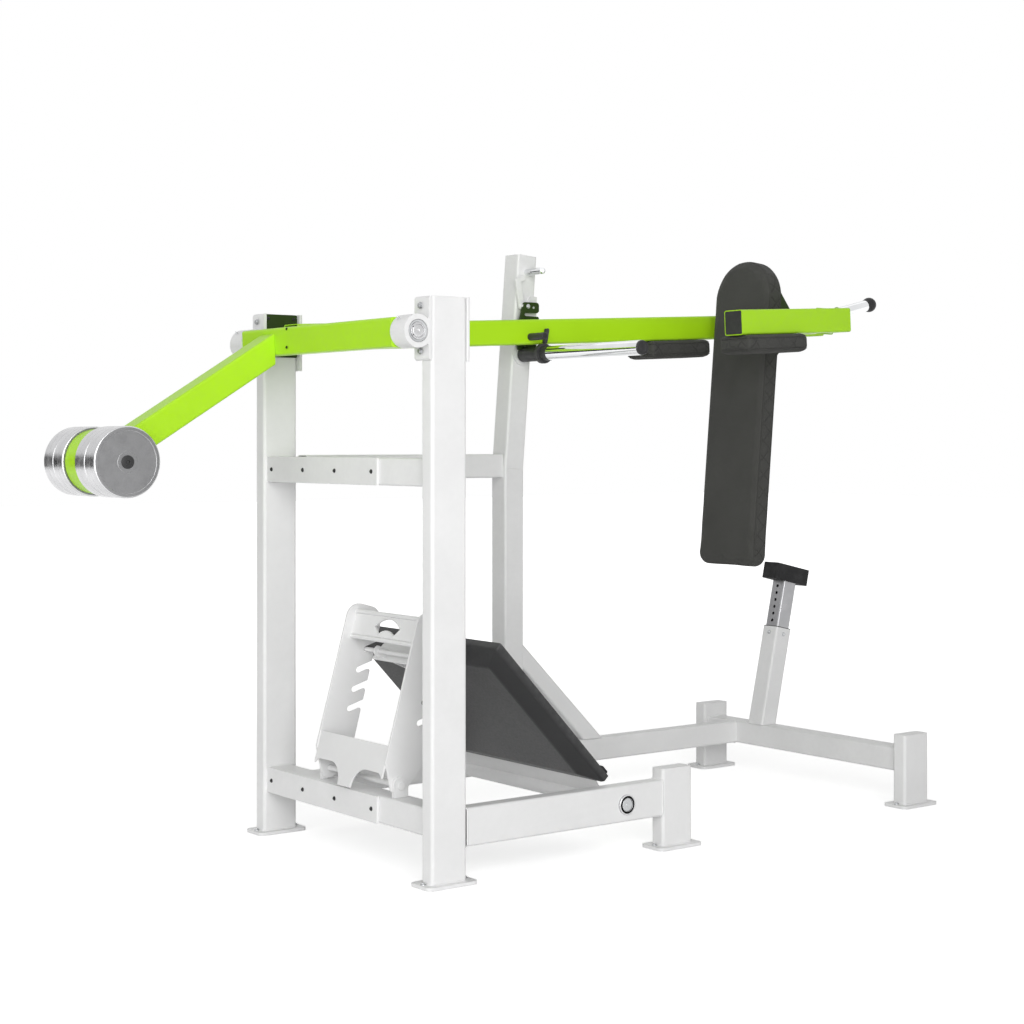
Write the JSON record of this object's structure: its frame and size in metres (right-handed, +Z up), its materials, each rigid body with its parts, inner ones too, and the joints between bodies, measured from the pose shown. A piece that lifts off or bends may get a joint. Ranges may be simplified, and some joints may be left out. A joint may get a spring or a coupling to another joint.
{
  "type": "pendulum squat machine",
  "caption": "Squat machine with a counterweighted swing arm, shoulder and back pads, a hinged footplate set by a notched ladder, a plate horn and an adjustable bump stop.",
  "frame": {"origin": "on the floor under the middle of the machine's box", "axes": "+X from the counterweights to the back pad, +Y from the open side to the main arm, +Z up"},
  "size_m": [3.0446, 1.091, 1.8831],
  "materials": {
    "black_paint": "satin",
    "black_rubber": "matt",
    "charcoal_cover": "fine woven cover over foam",
    "chrome": "polished",
    "dark_green_paint": "satin powder coat",
    "lime_paint": "satin gloss powder coat",
    "steel": "machined, bright",
    "white_paint": "gloss powder coat"
  },
  "bodies": {
    "frame": {"bearing_far": "steel", "bearing_housing_far": "white_paint", "bearing_housing_near": "white_paint", "bearing_near": "steel", "brace": "white_paint", "bumper_sleeve": "white_paint", "clamp_plate_far": "white_paint", "clamp_plate_near": "white_paint", "cradle_plate": "white_paint", "crossbar_low": "white_paint", "crossbar_mid": "white_paint", "crossbar_plate_low": "white_paint", "crossbar_plate_mid": "white_paint", "far_mid_beam": "white_paint", "far_rail": "white_paint", "foot_plate_far": "white_paint", "foot_plate_near": "white_paint", "foot_plate_rear_far": "white_paint", "foot_plate_rear_near": "white_paint", "foot_plate_stub_near": "white_paint", "footplate_axle": "steel", "ladder_lug_far": "white_paint", "ladder_lug_near": "white_paint", "near_rail": "white_paint", "post_lower": "white_paint", "post_upper": "white_paint", "rear_crossbeam": "white_paint", "rear_post_far": "white_paint", "rear_post_near": "white_paint", "stop_peg": "chrome", "stub_post_near": "white_paint", "upright_far": "white_paint", "upright_near": "white_paint"},
    "pendulum": {"axle_beam": "lime_paint", "back_bracket": "dark_green_paint", "back_pad": "charcoal_cover", "carriage_crossbeam": "lime_paint", "catch_plate": "dark_green_paint", "handle_near": "chrome", "main_arm": "lime_paint", "near_beam": "lime_paint", "pivot_shaft": "chrome", "plate_horn": "chrome", "shoulder_pad_far": "charcoal_cover", "shoulder_pad_near": "charcoal_cover", "weight_arm": "lime_paint", "weight_bolt": "black_paint", "weight_disc_1": "steel", "weight_disc_2": "steel", "weight_disc_3": "steel", "weight_disc_4": "steel"},
    "catch": {"catch_hook": "dark_green_paint"},
    "collar": {"horn_collar": "black_paint"},
    "collar_lever": {"collar_lever": "black_paint"},
    "footplate": {"footplate_frame": "white_paint", "footplate_tray": "black_paint", "heel_bar": "black_rubber"},
    "ladder": {"ladder": "white_paint"},
    "bumper": {"bumper_block": "black_rubber", "bumper_stem": "steel"}
  },
  "joints": [
    {"name": "pendulum_swing", "type": "hinge", "parent": "frame", "child": "pendulum", "pos_m": [-0.82936, -0.5135, 1.548], "axis": [0, -1, 0], "range_deg": [-21.5, 8.3]},
    {"name": "catch_swing", "type": "hinge", "parent": "pendulum", "child": "catch", "pos_m": [0.14707, 0.2841, 1.70503], "axis": [0, 1, 0], "range_deg": [0, 95]},
    {"name": "collar_slide", "type": "slide", "parent": "pendulum", "child": "collar", "axis": [0, -1, 0], "range_m": [0, 0.46]},
    {"name": "collar_lever_turn", "type": "hinge", "parent": "collar", "child": "collar_lever", "pos_m": [0.16567, 0.1805, 1.57896], "axis": [0, 1, 0], "range_deg": [0, 60]},
    {"name": "footplate_tilt", "type": "hinge", "parent": "frame", "child": "footplate", "pos_m": [-0.07686, -0.5135, 0.155], "axis": [0, 1, 0], "range_deg": [0, 20]},
    {"name": "ladder_tilt", "type": "hinge", "parent": "frame", "child": "ladder", "pos_m": [-0.72586, -0.0775, 0.247], "axis": [0, -1, 0], "range_deg": [0, 31]},
    {"name": "bumper_slide", "type": "slide", "parent": "frame", "child": "bumper", "axis": [0.2198, 0, 0.9755], "range_m": [-0.12, 0]}
  ],
  "couplings": [
    {"joint": "ladder_tilt", "follows": "footplate_tilt", "ratio": 1.55}
  ]
}
